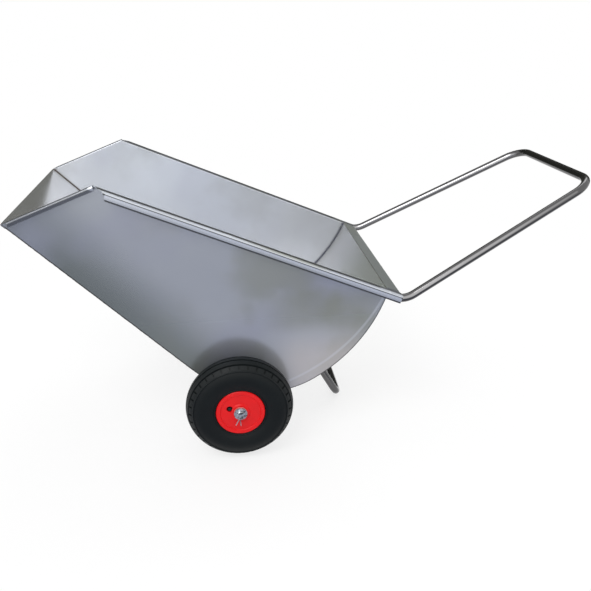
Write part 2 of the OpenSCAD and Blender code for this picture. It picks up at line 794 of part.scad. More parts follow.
// Bent stem from the inner tube through the well to the opening in the rim's face
module valve_stem() {
    color(brass) on_wheel() rotate([0, 0, valve_turn])
        bar_run([[tube_base_r - seat_gap, 0, valve_z], [valve_ring_r, 0, valve_z],
            [valve_ring_r, 0, valve_tip]], [0, valve_elbow_r, 0], valve_d / 2);
}
module valve_stem_right() valve_stem();
module valve_stem_left() left() valve_stem();

module valve_cap() {
    color(rubber) on_wheel() rotate([0, 0, valve_turn])
        translate([valve_ring_r, 0, valve_tip - cap_l / 2]) difference() {
            cylinder(h = cap_l, d = valve_d + 2.4);
            translate([0, 0, -over]) cylinder(h = cap_l / 2 + over, d = valve_d + 2 * fit_gap);
        }
}
module valve_cap_right() valve_cap();
module valve_cap_left() left() valve_cap();

side_panel_left();
side_panel_right();
floor_sheet();
handle_tube();
axle();
axle_bracket_left();
axle_bracket_right();
stand_tube();
stand_doubler_left();
stand_doubler_right();
axle_collar_left();
axle_collar_right();
inner_washer_left();
inner_washer_right();
outer_washer_left();
outer_washer_right();
split_pin_left();
split_pin_right();
tyre_left();
tyre_right();
inner_tube_left();
inner_tube_right();
rim_outer_half_left();
rim_outer_half_right();
rim_inner_half_left();
rim_inner_half_right();
rim_screws_left();
rim_screws_right();
outer_hub_bush_left();
outer_hub_bush_right();
inner_hub_bush_left();
inner_hub_bush_right();
valve_stem_left();
valve_stem_right();
valve_cap_left();
valve_cap_right();
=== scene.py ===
"""Finishes, weld beads and a studio for a two-wheeled sheet-steel barrow.

Metres. +X points to the grip bar, +Z up, and the tray is the same on both sides of Y = 0.
"""

import json
import math

import bmesh
import bpy
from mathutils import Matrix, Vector


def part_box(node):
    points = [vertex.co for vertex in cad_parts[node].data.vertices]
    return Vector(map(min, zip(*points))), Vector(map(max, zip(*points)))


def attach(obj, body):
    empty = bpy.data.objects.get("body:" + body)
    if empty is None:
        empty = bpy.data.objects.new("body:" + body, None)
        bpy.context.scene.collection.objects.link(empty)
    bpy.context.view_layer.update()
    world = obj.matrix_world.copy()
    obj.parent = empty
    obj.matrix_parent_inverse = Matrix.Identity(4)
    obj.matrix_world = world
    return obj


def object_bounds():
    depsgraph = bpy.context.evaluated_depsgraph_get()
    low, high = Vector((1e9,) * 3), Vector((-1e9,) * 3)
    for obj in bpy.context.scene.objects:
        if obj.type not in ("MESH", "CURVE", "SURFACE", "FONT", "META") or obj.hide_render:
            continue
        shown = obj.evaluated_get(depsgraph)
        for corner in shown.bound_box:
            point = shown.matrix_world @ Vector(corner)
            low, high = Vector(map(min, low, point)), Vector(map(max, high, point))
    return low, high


bl_info = {
    "name": "Sheet-steel barrow finishes",
    "version": (1, 0, 0),
    "blender": (4, 5, 0),
    "location": "View3D > Sidebar > Barrow",
    "description": "Finishes, weld beads and a studio for a two-wheeled barrow",
    "category": "Object",
}

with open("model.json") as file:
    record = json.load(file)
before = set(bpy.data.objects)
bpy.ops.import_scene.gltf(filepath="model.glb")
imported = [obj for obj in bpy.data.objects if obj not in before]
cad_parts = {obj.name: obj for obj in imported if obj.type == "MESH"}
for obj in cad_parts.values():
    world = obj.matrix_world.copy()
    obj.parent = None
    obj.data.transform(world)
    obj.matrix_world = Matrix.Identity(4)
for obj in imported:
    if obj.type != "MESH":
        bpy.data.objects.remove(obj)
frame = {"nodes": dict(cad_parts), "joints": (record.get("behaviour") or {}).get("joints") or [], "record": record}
CAD_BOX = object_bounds()
NODES = frame["nodes"]
SIDES = ("left", "right")

# The tray's steel, the gap between floor sheet and side panel, and the rear rims' turned-down lips
SHEET = 0.0015
FIT_GAP = 0.0002
LIP_DEPTH = 0.019

# Places read from the frame
AXLE_X, _, AXLE_Z = frame["joints"][0]["pos_m"]
SEAM_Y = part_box("floor_sheet")[1].y
PANEL_Y = SEAM_Y + FIT_GAP + SHEET
PEAK_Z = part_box("side_panel_left")[1].z
RIM_END_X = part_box("side_panel_left")[1].x
PEAK_X = max((v.co.z, v.co.x) for v in NODES["side_panel_left"].data.vertices)[1]
LIP_X = CAD_BOX[0][0]
LIP_Z = min((v.co.x, v.co.z) for v in NODES["floor_sheet"].data.vertices)[1]
RIM_AXIS = Vector(next(m["axis"] for m in frame["record"]["mounts"] if m["name"] == "rim_top_left"))
RIM_FALL = math.atan2(RIM_AXIS.x, RIM_AXIS.z)


def widest_fall(node):
    """How steeply the largest flat face of a node falls."""
    widest = max(NODES[node].data.polygons, key=lambda face: face.area)
    return math.atan(abs(widest.normal.x / widest.normal.z))


def lowest_near(node, x):
    """X and Z of a node's lowest vertex within 20 mm of a place along X."""
    near = [v.co for v in NODES[node].data.vertices if abs(v.co.x - x) < 0.02]
    return min(near, key=lambda place: place.z).xz


def arc_below(node, *offsets):
    """Centre and radius of the arc in side view under a node, at three distances behind the axle."""
    first, middle, last = (lowest_near(node, AXLE_X + offset) for offset in offsets)
    back = first - middle
    on = last - middle
    aside = on * back.length_squared - back * on.length_squared
    to_centre = Vector((aside.y, -aside.x)) / (2 * back.cross(on))
    return middle + to_centre, to_centre.length


SCOOP_FALL = widest_fall("floor_sheet")
WALL_CENTRE, WALL_RADIUS = arc_below("floor_sheet", 0.19, 0.27, 0.34)
BEND_CENTRE, BEND_RADIUS = arc_below("side_panel_left", -0.08, 0.04, 0.16)
REAR_CENTRE, REAR_RADIUS = arc_below("side_panel_left", 0.215, 0.255, 0.3)
# Where a side panel's bend begins, and where its rear arc takes over
BEND_FROM = BEND_CENTRE.x - BEND_RADIUS * math.sin(SCOOP_FALL)
BEND_TO = REAR_CENTRE.x + (BEND_CENTRE - REAR_CENTRE).normalized().x * REAR_RADIUS


def reach(x, z, centre):
    """Distance in side view from a centre, for numbers as well as for shader values."""
    return ((x - centre[0]) ** 2 + (z - centre[1]) ** 2) ** 0.5


def below_rim(x, z):
    """Distance in side view under the rear rims' line, for numbers as well as for shader values."""
    return (PEAK_Z - z) * math.cos(RIM_FALL) - (x - PEAK_X) * math.sin(RIM_FALL)


def srgb(red, green, blue):
    """Linear colour of a display colour given as 0 to 255."""
    shares = (level / 255 for level in (red, green, blue))
    return tuple(s / 12.92 if s <= 0.04 else ((s + 0.055) / 1.055) ** 2.4 for s in shares)


def scaled(tone, share):
    """A colour with a share of its light."""
    return tuple(level * share for level in tone)


# ---------------------------------------------------------------- shader maths


def add_node(tree, kind, settings=None, output=0, **inputs):
    """Adds one node: its settings first, then its sockets, each by name or as _number."""
    node = tree.nodes.new(kind)
    for key, setting in (settings or {}).items():
        setattr(node, key, setting)
    for key, content in inputs.items():
        slot = node.inputs[int(key[1:])] if key[0] == "_" else node.inputs[key.replace("_", " ")]
        if isinstance(content, Value):
            tree.links.new(content.socket, slot)
        elif slot.type == "RGBA":
            slot.default_value = (*content, 1.0)
        else:
            slot.default_value = content
    return Value(tree, node.outputs[output])


class Value:
    """A socket whose Python operators add Math nodes to its tree."""

    def __init__(self, tree, socket):
        self.tree = tree
        self.socket = socket

    def maths(self, operation, first, second=0.0, clamp=False):
        settings = {"operation": operation, "use_clamp": clamp}
        return add_node(self.tree, "ShaderNodeMath", settings, _0=first, _1=second)

    def __add__(self, other):
        return self.maths("ADD", self, other)

    def __radd__(self, other):
        return self.maths("ADD", other, self)

    def __sub__(self, other):
        return self.maths("SUBTRACT", self, other)

    def __rsub__(self, other):
        return self.maths("SUBTRACT", other, self)

    def __mul__(self, other):
        return self.maths("MULTIPLY", self, other)

    def __rmul__(self, other):
        return self.maths("MULTIPLY", other, self)

    def __pow__(self, other):
        return self.maths("POWER", self, other)

    def __abs__(self):
        return self.maths("ABSOLUTE", self)

    def least(self, other):
        """The smaller of two values."""
        return self.maths("MINIMUM", self, other)

    def ramp(self, low, high):
        """0 below low and 1 above high, smooth between them."""
        return add_node(self.tree, "ShaderNodeMapRange", {"interpolation_type": "SMOOTHSTEP"},
                        Value=self, From_Min=low, From_Max=high)

    def band(self, middle, half, soft):
        """1 within half of middle, and 0 beyond a soft edge."""
        return 1 - abs(self - middle).ramp(half, half + soft)


class Finish:
    """One procedural material round a Principled shader."""

    def __init__(self, name, **constants):
        self.material = bpy.data.materials.new(name)
        self.material.use_nodes = True
        self.tree = self.material.node_tree
        self.shader = self.tree.nodes["Principled BSDF"]
        for socket, constant in constants.items():
            self.shader.inputs[socket.replace("_", " ")].default_value = constant
        self.place = self.node("ShaderNodeTexCoord", output="Object")

    def node(self, kind, settings=None, output=0, **inputs):
        return add_node(self.tree, kind, settings, output, **inputs)

    def axes(self, source=None):
        """X, Y and Z of a vector, which is a place on the piece where no other is given."""
        split = self.node("ShaderNodeSeparateXYZ", Vector=source or self.place)
        return [Value(self.tree, axis) for axis in split.socket.node.outputs]

    def stretched(self, scale, turn=(0, 0, 0), at=(0, 0, 0)):
        """The piece's coordinates, scaled, turned and moved."""
        return self.node("ShaderNodeMapping", Vector=self.place, Scale=scale, Rotation=turn,
                         Location=at)

    def noise(self, scale, detail=3.0, rough=0.5, at=None):
        """Clouds of noise with a middle near 0.5."""
        return self.node("ShaderNodeTexNoise", Vector=at or self.place, Scale=scale, Detail=detail,
                         Roughness=rough)

    def mix(self, factor, first, second):
        """Colour between first and second."""
        return self.node("ShaderNodeMix", {"data_type": "RGBA"}, output=2, _0=factor, _6=first,
                         _7=second)

    def bump(self, height, strength, distance):
        return self.node("ShaderNodeBump", Height=height, Strength=strength, Distance=distance)

    def link(self, **sockets):
        """Links values to the Principled shader's sockets and returns the finished material."""
        for key, content in sockets.items():
            self.tree.links.new(content.socket, self.shader.inputs[key.replace("_", " ")])
        return self.material

    def show(self, shader):
        """Shows another shader than the Principled one and returns the finished material."""
        surface = self.tree.nodes["Material Output"].inputs["Surface"]
        self.tree.links.new(shader.socket, surface)
        return self.material


# ---------------------------------------------------------------- settings


def colour(name, red, green, blue, about):
    """A colour setting whose default is given as display values."""
    return bpy.props.FloatVectorProperty(
        name=name, description=about, subtype="COLOR", size=3, min=0.0, max=1.0,
        default=srgb(red, green, blue))


class BarrowColours(bpy.types.PropertyGroup):
    """Colours of the barrow's finishes."""

    # Painted light and shade: the outer faces take the darker tone below and the inner faces the lighter one, for
    # one and the same steel.
    outside: colour("Tray outside", 195, 199, 206, "Steel of the tray's outer faces")
    inside: colour("Tray inside", 226, 226, 227, "Steel of the tray's inner faces")
    # Painted shade: the tip and lower edges of the outer faces, and the flange behind the rear wall, take this
    # darker tone.
    dull: colour("Tray tip", 126, 133, 131, "Duller steel at the tip and along the lower edges")
    # Painted light: this lighter tone brightens the side panels' inner faces and makes the painted highlights at
    # the peaks and on the rear lips; it also gives the heat-tint band by the rear edge of the outer faces.
    bright: colour("Tray sides inside", 240, 244, 251, "Steel of the side panels' inner faces")
    # Painted shade: the front rims, and at half its light the channel under the rear rims, take this dark tone.
    rim: colour("Rims of the tray", 112, 114, 118, "Dark handled steel of the folded rims")
    cool: colour("Tray cool patches", 178, 181, 199, "Bluish patches on the tray")
    warm: colour("Tray warm patches", 226, 218, 214, "Paler, warmer patches low on the tray")
    weld: colour("Welds", 92, 80, 74, "Weld beads and the heat tint beside them")
    blued: colour("Blued welds", 92, 94, 108, "Rear weld beads and their heat tint")
    # Real stains, smudges and weld patches, and also a painted olive reflection on the inside of the rear wall.
    stain_and_reflection: colour("Tray stains", 158, 160, 144, "Dull warm stains on the tray")
    tube: colour("Tubes", 190, 189, 190, "Steel of the handle and the stand")
    zinc: colour("Zinc", 212, 217, 222, "Zinc plate of the axle, washers and pins")
    rubber: colour("Rubber", 5, 12, 14, "Tyres")
    red: colour("Wheel rims", 224, 2, 9, "Moulded rims of the wheels")
    inner_rubber: colour("Inner tubes", 30, 30, 30, "Inner tubes of the tyres")
    nylon: colour("Nylon", 226, 222, 208, "Bushes of the hubs")
    brass: colour("Brass", 196, 164, 92, "Stems of the valves")
    cap: colour("Valve caps", 22, 22, 23, "Caps of the valves")
    floor: colour("Floor", 250, 250, 250, "Studio floor")


class BarrowSizes(bpy.types.PropertyGroup):
    """Sizes of what is added to the barrow."""

    bead: bpy.props.FloatProperty(
        name="Weld bead", description="Radius of the weld beads", default=0.0016, min=0.0005,
        max=0.004, unit="LENGTH")
    waves: bpy.props.FloatProperty(
        name="Waves", description="Depth of the sheet's slow waves", default=0.003, min=0.0,
        max=0.02, unit="LENGTH")


def finish_nodes(material, *names):
    """Gives a material to CAD nodes, each name standing for both sides where it has no side."""
    for name in names:
        found = [node for node in (name, *(f"{name}_{side}" for side in SIDES)) if node in NODES]
        if not found:
            raise RuntimeError(f"the frame has no node {name}")
        for node in found:
            slots = NODES[node].data.materials
            slots.clear()
            slots.append(material)


# ---------------------------------------------------------------- finishes


# Tone of the thin dark lines (on the rear lips' folds and lower edges these are painted shade), and the soft edge
# of those on the rear lips
LINE_TONE = (0.05, 0.052, 0.056)
LINE_SOFT = 0.0008
# Half width of the line along a side panel's outline, and its soft edge
OUTLINE_HALF = 0.0015
OUTLINE_SOFT = 0.0012
# Half width of the heat tint beside the tray's seams, and its soft edge
TINT_HALF = 0.003
TINT_SOFT = 0.007
# The tray's inner faces end this far outside the seam
SEAM_SLACK = 0.0003
# The fold of a rear lip lies this far under the rims' line
FOLD_DEPTH = 0.0048
# The shaded part of the channel under a rear rim reaches this far out from the panel
CHANNEL = 0.011
# The flange behind the rear wall lies behind this place
FLANGE_X = RIM_END_X - 0.06
# How far above its level of noise a patch is at its fullest
PATCH_RISE = 1 / 6
# Roughness and metallic share of plain sheet, before its places and smears change them
SHEET_ROUGH = 0.23
SHEET_METAL = 0.8


class SheetPlaces:
    """Where a point of the tray's sheets lies: masks from 0 to 1, and distances in side view."""

    def __init__(self, steel):
        x, y, z = self.x, self.y, self.z = steel.axes()
        normal = steel.axes(steel.node("ShaderNodeTexCoord", output="Normal"))
        sideways, upward = abs(normal[1]), abs(normal[2])
        self.behind_axle = x - AXLE_X
        self.above_axle = z - AXLE_Z
        self.across = abs(y)
        # Masks: between the side panels, their inner faces, what stands out past them, outer faces
        # that are turned away from Y, and the flange behind the rear wall
        self.within = 1 - self.across.ramp(SEAM_Y + SEAM_SLACK, SEAM_Y + 2 * SEAM_SLACK)
        self.inner_sides = sideways.ramp(0.6, 0.8) * self.within
        self.rims = self.across.ramp(PANEL_Y + 0.001, PANEL_Y + 0.003)
        self.turned = (1 - sideways.ramp(0.9, 0.97)) * (1 - self.within)
        self.flange = upward.ramp(0.84, 0.9) * x.ramp(FLANGE_X, FLANGE_X + 0.01)
        self.behind_peak = x.ramp(PEAK_X, PEAK_X + 0.002)
        # Distances: under and along the rear rims' line, above the scoop, inside the rear wall's arc
        # and from the peak
        self.below_rim = below_rim(x, z)
        self.along_rim = (x - PEAK_X) * math.cos(RIM_FALL) + (PEAK_Z - z) * math.sin(RIM_FALL)
        self.above_scoop = (x - LIP_X) * math.sin(SCOOP_FALL) + (z - LIP_Z) * math.cos(SCOOP_FALL)
        self.to_wall = WALL_RADIUS - reach(x, z, WALL_CENTRE)
        self.to_peak = reach(x, z, (PEAK_X, PEAK_Z))

    def outline(self):
        """A thin line along the lower outline of the side panels: scoop, bend and rear arc."""
        x, z = self.x, self.z
        bend_x, bend_z = BEND_CENTRE
        from_scoop = (BEND_RADIUS + (x - bend_x) * math.sin(SCOOP_FALL)
                      + (z - bend_z) * math.cos(SCOOP_FALL))
        from_bend = BEND_RADIUS - reach(x, z, BEND_CENTRE)
        from_rear = REAR_RADIUS - reach(x, z, REAR_CENTRE)
        low = 1 - z.ramp(bend_z - 0.1, bend_z - 0.09)
        in_bend = low * x.ramp(BEND_FROM, BEND_FROM + 0.001)
        in_rear = x.ramp(BEND_TO, BEND_TO + 0.001)
        outer_skin = (1 - self.within) * (1 - self.rims) * (1 - self.turned)
        below_peak = 1 - z.ramp(PEAK_Z - 0.09, PEAK_Z - 0.07)
        line = (from_scoop.band(0.0, OUTLINE_HALF, OUTLINE_SOFT)
                + from_bend.band(0.0, OUTLINE_HALF, OUTLINE_SOFT) * in_bend * (1 - in_rear)
                + from_rear.band(0.0, OUTLINE_HALF, OUTLINE_SOFT) * in_rear)
        return line * outer_skin * below_peak


def outer_colour(steel, at, stains, chill, colours):
    """Colour of the tray's outer faces, with painted shade along the lower edges and towards the tip."""
    lower_edge = 1 - at.above_scoop.ramp(0.0, 0.16)
    near_lip = 1 - at.x.ramp(LIP_X, LIP_X + 0.3)
    cooled = chill * (1 - at.behind_axle.ramp(0.1, 0.45) * 0.7)
    stained = stains * at.behind_axle.ramp(-0.3, 0.1)
    smudge = at.behind_axle.band(0.22, 0.08, 0.1) * at.above_axle.band(0.22, 0.02, 0.05)
    pale = at.behind_axle.band(0.22, 0.06, 0.1) * (1 - at.above_axle.ramp(0.08, 0.2))
    rear_edge = at.to_wall.band(0.0, 0.0015, 0.003)
    # Painted shade along the lower edges and towards the tip.
    tone = steel.mix(lower_edge * 0.85, colours.outside, colours.dull)
    tone = steel.mix(near_lip * 0.4, tone, colours.dull)
    tone = steel.mix(cooled * 0.7, tone, colours.cool)
    tone = steel.mix(stained * 0.55, tone, colours.stain_and_reflection)
    tone = steel.mix(smudge * 0.45, tone, colours.stain_and_reflection)
    tone = steel.mix(pale * 0.6, tone, colours.warm)
    return steel.mix(rear_edge * 0.35, tone, colours.bright)


def inner_colour(steel, at, stains, chill, colours):
    """Colour of the tray's inner faces, with heat tint beside the welds, a painted olive reflection on the rear
    wall, painted shade on the flange behind it and painted light on the side panels.
    """
    sides = at.inner_sides
    # Painted olive reflection on the inside of the rear wall, strongest towards -Y.
    painted_wall_reflection = at.behind_axle.ramp(0.1, 0.4) * (1 - at.y.ramp(-0.12, 0.24) * 0.9) * (1 - at.flange)
    # Painted light on the side panels' inner faces, fading towards the rear.
    painted_side_light = sides * (1 - at.behind_axle.ramp(-0.2, 0.5) * 0.45)
    to_seam = at.above_scoop.least(at.to_wall)
    tint = (sides * to_seam.band(0.0, TINT_HALF, TINT_SOFT)
            + (1 - sides) * at.across.band(SEAM_Y, TINT_HALF, TINT_SOFT))
    tone = steel.mix(painted_wall_reflection, colours.inside, colours.stain_and_reflection)
    # Painted shade on the flange behind the rear wall.
    tone = steel.mix(at.flange * 0.85, tone, colours.dull)
    tone = steel.mix(painted_side_light, tone, colours.bright)
    tone = steel.mix(sides * chill * 0.3, tone, colours.cool)
    tone = steel.mix(stains * 0.22, tone, colours.stain_and_reflection)
    return steel.mix(tint * 0.6, tone, heat_tint(steel, at.behind_axle, colours))


def heat_tint(finish, behind_axle, colours):
    """Colour of heated steel, brown ahead and blue behind."""
    return finish.mix(behind_axle.ramp(-0.1, 0.3), colours.weld, colours.blued)


def rim_colour(steel, at, tone, colours):
    """Painted shade on the front rims and in the rear rims' channel, a painted highlight at the peaks and on the
    rear lips, and painted shade lines along the lips' folds and lower edges, with dark lines at their ends.
    """
    ahead = 1 - at.behind_peak
    folded = (at.rims + at.turned).least(1.0)
    channel = at.turned * (1 - at.across.ramp(PANEL_Y + CHANNEL, PANEL_Y + CHANNEL + 0.003))
    peak = at.rims * (1 - at.to_peak.ramp(0.006, 0.013))
    lip = at.behind_peak * at.rims * (1 - at.turned)
    fold = at.below_rim.band(FOLD_DEPTH, LINE_SOFT, LINE_SOFT)
    lower_edge = at.below_rim.band(LIP_DEPTH - 2 * LINE_SOFT, 2 * LINE_SOFT, LINE_SOFT)
    rear_end = at.x.ramp(RIM_END_X - 0.005, RIM_END_X - 0.004)
    front_end = 1 - at.along_rim.ramp(0.028, 0.033)
    # Painted shade on the front rims, and in the rear rims' channel below.
    tone = steel.mix(folded * ahead * 0.8, tone, colours.rim)
    tone = steel.mix(at.behind_peak * channel * 0.9, tone, scaled(colours.rim, 0.5))
    # Painted highlight at the peaks.
    tone = steel.mix(peak, tone, colours.bright)
    # Painted highlight on the rear lips, fading towards their lower edge.
    tone = steel.mix(lip * (1 - at.below_rim.ramp(0.009, 0.014) * 0.5), tone, colours.bright)
    # Painted shade lines along the rear lips' folds and lower edges, and dark lines at their ends.
    edges = lip * (fold * 0.7 + lower_edge * 0.9 + rear_end * 0.4 + front_end * 0.6)
    return steel.mix(edges, tone, LINE_TONE)


def sheet_steel(colours, sizes):
    """Satin stainless sheet with heat tint, painted lighter inside and darker outside, with painted shade and
    painted highlights on the rims.
    """
    steel = Finish("sheet_steel")
    at = SheetPlaces(steel)
    clouds = steel.noise(4.2, 4.0, 0.5)
    drift = steel.noise(2.2, 3.0, 0.5, steel.stretched((1.0, 1.0, 1.0), at=(3.1, 1.7, 0.4)))
    smears = steel.noise(7.0, 5.0, 0.6, steel.stretched((0.6, 1.0, 1.6), (0.0, -0.4, 0.0)))
    waves = steel.noise(4.0, 2.0, 0.4, steel.stretched((1.0, 1.0, 1.6), (0.0, 0.39, 0.0)))
    stains = clouds.ramp(0.47, 0.47 + PATCH_RISE)
    chill = drift.ramp(0.46, 0.46 + PATCH_RISE)

    # Painted light and shade: inner faces take the lighter inner colour, outer faces the darker outer one.
    tone = steel.mix(at.within, outer_colour(steel, at, stains, chill, colours),
                     inner_colour(steel, at, stains, chill, colours))
    tone = steel.mix(at.outline() * 0.85, tone, LINE_TONE)
    tone = rim_colour(steel, at, tone, colours)

    bed = at.within * (1 - at.inner_sides)
    low = 1 - at.above_axle.ramp(0.05, 0.3)
    metal = (SHEET_METAL - low * 0.2 + bed * 0.1 - at.inner_sides * 0.26 - at.flange * 0.3
             + at.rims * 0.12)
    blur = (smears - 0.5) * 0.08 + (clouds - 0.5) * 0.04
    rough = SHEET_ROUGH - bed * 0.05 + at.flange * 0.2 + at.turned * 0.12 + blur
    return steel.link(Base_Color=tone, Roughness=rough, Metallic=metal,
                      Normal=steel.bump(waves, 0.3, sizes.waves))


def tube_steel(colours):
    """Polished stainless tube, with painted shade where it turns away from the camera."""
    tube = Finish("tube_steel", Metallic=1.0)
    clouds = tube.noise(9.0)
    painted_edge_shade = tube.node("ShaderNodeLayerWeight", output="Facing", Blend=0.5).ramp(0.02, 0.16)
    tone = tube.mix(clouds.ramp(0.35, 0.75), colours.tube, scaled(colours.tube, 0.8))
    # Painted shade on the parts of the tube that turn away from the camera.
    tone = tube.mix(painted_edge_shade, tone, scaled(colours.tube, 0.24))
    return tube.link(Base_Color=tone, Roughness=0.13 + clouds * 0.06)


def zinc_plate(colours):
    """Bright zinc plate with dark tarnished spots."""
    zinc = Finish("zinc_plate", Metallic=1.0)
    spots = zinc.noise(180.0, 4.0, 0.6)
    tone = zinc.mix(spots.ramp(0.48, 0.62), colours.zinc, scaled(colours.zinc, 0.2))
    return zinc.link(Base_Color=tone, Roughness=0.26 + spots * 0.2)


def tyre_rubber(colours):
    """Black rubber with a dusty bloom."""
    rubber = Finish("tyre_rubber", Specular_IOR_Level=0.28)
    dust = rubber.noise(26.0, 5.0, 0.65)
    pores = rubber.noise(420.0, 3.0, 0.6)
    tone = rubber.mix(dust.ramp(0.45, 0.85) * 0.5, colours.rubber, scaled(colours.rubber, 1.9))
    return rubber.link(Base_Color=tone, Roughness=0.44 + dust * 0.22,
                       Normal=rubber.bump(pores, 0.25, 0.0001))


def red_plastic(colours):
    """Moulded red plastic."""
    red = Finish("red_plastic", Specular_IOR_Level=0.3)
    clouds = red.noise(30.0)
    pores = red.noise(600.0, 2.0)
    tone = red.mix(clouds.ramp(0.4, 0.8) * 0.4, colours.red, scaled(colours.red, 0.8))
    return red.link(Base_Color=tone, Roughness=0.32 + clouds * 0.16,
                    Normal=red.bump(pores, 0.1, 0.00005))


def plain_finish(name, tone, rough, metal=0.0):
    """A finish for small pieces, with slight mottling."""
    finish = Finish(name, Metallic=metal)
    clouds = finish.noise(120.0)
    mottled = finish.mix(clouds.ramp(0.3, 0.8) * 0.5, tone, scaled(tone, 0.7))
    return finish.link(Base_Color=mottled, Roughness=rough - 0.06 + clouds * 0.12)


def weld_metal(colours):
    """Weld bead with heat tint and dull patches."""
    weld = Finish("weld_metal", Metallic=1.0)
    patches = weld.noise(46.0, 3.0, 0.6)
    tone = heat_tint(weld, weld.axes()[0] - AXLE_X, colours)
    tone = weld.mix(patches.ramp(0.45, 0.8) * 0.6, tone, colours.stain_and_reflection)
    return weld.link(Base_Color=tone, Roughness=0.3 + patches * 0.25)


# ---------------------------------------------------------------- weld beads

# Size of a bead's lumps, their height as a share of its radius, and the step between its rings
LUMP = 0.0035
LUMP_SHARE = 0.8
BEAD_STEP = 0.003
# How far a seam's bead moves in from the seam, as a share of its radius
SEAM_INSET = 0.6
# A seam's edges lie within this much of it
SEAM_REACH = 0.0005
# The seams' beads keep this far from the rims' line, the lip and the rear end
SEAM_BELOW_RIM = 0.008
SEAM_BEHIND_LIP = 0.025
SEAM_BEFORE_END = 0.03
# The ends of the stand's legs lie within this much of its top
LEG_END = 0.03
# A place within the tray
TRAY_MIDDLE = Vector((LIP_X * 0.3, 0.0, PEAK_Z * 0.75))


def deselect():
    bpy.ops.object.select_all(action="DESELECT")


def long_edges(piece):
    """Selects the edges of a piece in edit mode that are longer than a bead's step, and counts them."""
    mesh = bmesh.from_edit_mesh(piece.data)
    for edge in mesh.edges:
        edge.select = edge.calc_length() > BEAD_STEP
    bmesh.update_edit_mesh(piece.data)
    return sum(edge.select for edge in mesh.edges)


def wire_edges(name, node, wanted):
    """Makes a wire of the edges of a CAD node that wanted picks, cut into short steps."""
    deselect()
    wire = NODES[node].copy()
    wire.data = NODES[node].data.copy()
    wire.name = name
    for key in list(wire.keys()):
        del wire[key]
    wire.data.materials.clear()
    bpy.context.collection.objects.link(wire)
    wire.select_set(True)
    bpy.context.view_layer.objects.active = wire
    bpy.ops.object.mode_set(mode="EDIT")
    bpy.ops.mesh.select_mode(type="EDGE")
    bpy.ops.mesh.select_all(action="SELECT")
    bpy.ops.mesh.remove_doubles(threshold=1e-5)
    mesh = bmesh.from_edit_mesh(wire.data)
    for edge in mesh.edges:
        edge.select = not (len(edge.link_faces) == 2 and wanted(edge))
    bmesh.update_edit_mesh(wire.data)
    bpy.ops.mesh.delete(type="EDGE")
    bpy.ops.mesh.select_all(action="SELECT")
    bpy.ops.mesh.delete_loose(use_verts=True, use_edges=False, use_faces=False)
    while long_edges(wire):
        bpy.ops.mesh.subdivide(number_cuts=1)
    bpy.ops.object.mode_set(mode="OBJECT")
    if not wire.data.edges:
        raise RuntimeError(f"no edge of {node} takes the bead {name}")


def weld_bead(name, node, wanted, radius, metal, inset=0.0):
    """Lays a lumpy bead along the edges of a CAD node that wanted picks, moved by inset in Y."""
    wire_edges(name, node, wanted)
    bpy.ops.object.convert(target="CURVE")
    bead = bpy.context.object
    bead.data.bevel_depth = radius
    bead.data.bevel_resolution = 1
    bead.data.use_fill_caps = True
    bpy.ops.object.convert(target="MESH")
    bead = bpy.context.object
    clouds = bpy.data.textures.new(name, "CLOUDS")
    clouds.noise_scale = LUMP
    lumps = bead.modifiers.new("lumps", "DISPLACE")
    lumps.texture = clouds
    lumps.texture_coords = "LOCAL"
    lumps.strength = radius * LUMP_SHARE
    bpy.ops.object.modifier_apply(modifier="lumps")
    bpy.ops.object.shade_smooth()
    bpy.ops.transform.translate(value=(0.0, inset, 0.0))
    bpy.ops.object.transform_apply(location=True)
    bead.data.materials.append(metal)
    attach(bead, "frame")


def middle_of(edge):
    return (edge.verts[0].co + edge.verts[1].co) / 2


def seam_test(side, inward):
    """Picks the edges where a side panel meets the inner or the outer face of the floor sheet."""
    def wanted(edge):
        middle = middle_of(edge)
        ends = [face for face in edge.link_faces if abs(face.normal.y) > 0.9]
        skins = [face for face in edge.link_faces if abs(face.normal.y) < 0.1]
        if len(ends) != 1 or len(skins) != 1 or middle.y * side < SEAM_Y - SEAM_REACH:
            return False
        toward = skins[0].normal.dot(TRAY_MIDDLE - middle) > 0
        in_reach = LIP_X + SEAM_BEHIND_LIP < middle.x < RIM_END_X - SEAM_BEFORE_END
        return toward == inward and in_reach and below_rim(middle.x, middle.z) > SEAM_BELOW_RIM
    return wanted


def bracket_test(edge):
    """Picks the upper edges of a bracket plate, which meet the floor sheet."""
    normals = [face.normal for face in edge.link_faces]
    to_tray = TRAY_MIDDLE - middle_of(edge)
    on_skin = any(abs(normal.y) > 0.9 for normal in normals)
    return on_skin and any(normal.dot(to_tray) > 0.15 for normal in normals if abs(normal.y) < 0.1)


def leg_test(top):
    """Picks the edge round the upper end of each leg of the stand."""
    def wanted(edge):
        first, second = (face.normal for face in edge.link_faces)
        return middle_of(edge).z > top - LEG_END and first.dot(second) < 0.6
    return wanted


class BARROW_OT_welds(bpy.types.Operator):
    """Lay the weld beads of the tray, the brackets and the stand"""

    bl_idname = "barrow.welds"
    bl_label = "Welds"

    def execute(self, context):
        metal = weld_metal(context.scene.barrow_colours)
        radius = context.scene.barrow_sizes.bead
        stand_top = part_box("stand_tube")[1].z
        for side, sign in zip(SIDES, (-1, 1)):
            inset = -sign * radius * SEAM_INSET
            weld_bead(f"inner_seam_weld_{side}", "floor_sheet", seam_test(sign, True),
                      radius, metal, inset)
            weld_bead(f"under_seam_weld_{side}", "floor_sheet", seam_test(sign, False),
                      radius, metal, inset)
            weld_bead(f"bracket_weld_{side}", f"axle_bracket_{side}", bracket_test, radius, metal)
        weld_bead("stand_weld", "stand_tube", leg_test(stand_top), radius, metal)
        return {"FINISHED"}


